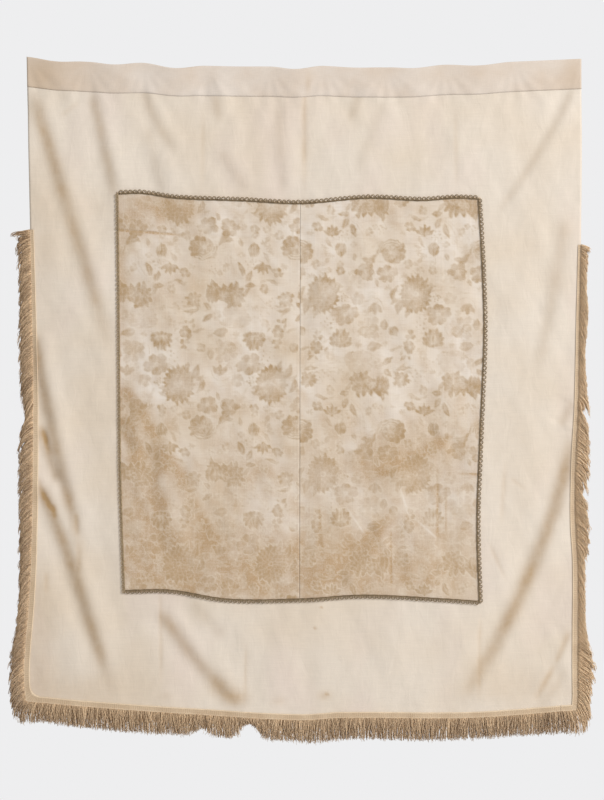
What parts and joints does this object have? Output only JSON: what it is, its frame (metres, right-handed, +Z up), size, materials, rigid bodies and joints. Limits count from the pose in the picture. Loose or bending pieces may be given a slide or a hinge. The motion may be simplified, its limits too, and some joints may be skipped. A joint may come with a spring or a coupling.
{
  "type": "torah ark curtain",
  "caption": "Hung textile curtain: plain ground with a linen heading, an applied floral damask panel edged with scalloped lace, and a cut fringe on both sides and the foot.",
  "frame": {"origin": "middle of the curtain's top edge, on the plane of the wall that it hangs against", "axes": "+Z up, +X to the right as seen from the front, +Y into the wall, so that the curtain faces -Y"},
  "size_m": [1.7335, 0.0327, 2.0425],
  "materials": {
    "ground_silk": "ivory ribbed silk or fine cotton, aged, with small brown spots",
    "heading_linen": "plain greyish-pink linen",
    "damask": "pale pinkish-beige silk damask with tan floral figures, stained darker below",
    "metal_lace": "tarnished metal-thread lace with a scalloped edge",
    "fringe_silk": "beige braid with brown cut silk fringe"
  },
  "bodies": {
    "root": {"ground": "ground_silk", "heading": "heading_linen", "damask_left": "damask", "damask_right": "damask", "lace_top": "metal_lace", "lace_bottom": "metal_lace", "lace_left": "metal_lace", "lace_right": "metal_lace", "fringe_left": "fringe_silk", "fringe_right": "fringe_silk", "fringe_bottom": "fringe_silk"}
  },
  "joints": []
}
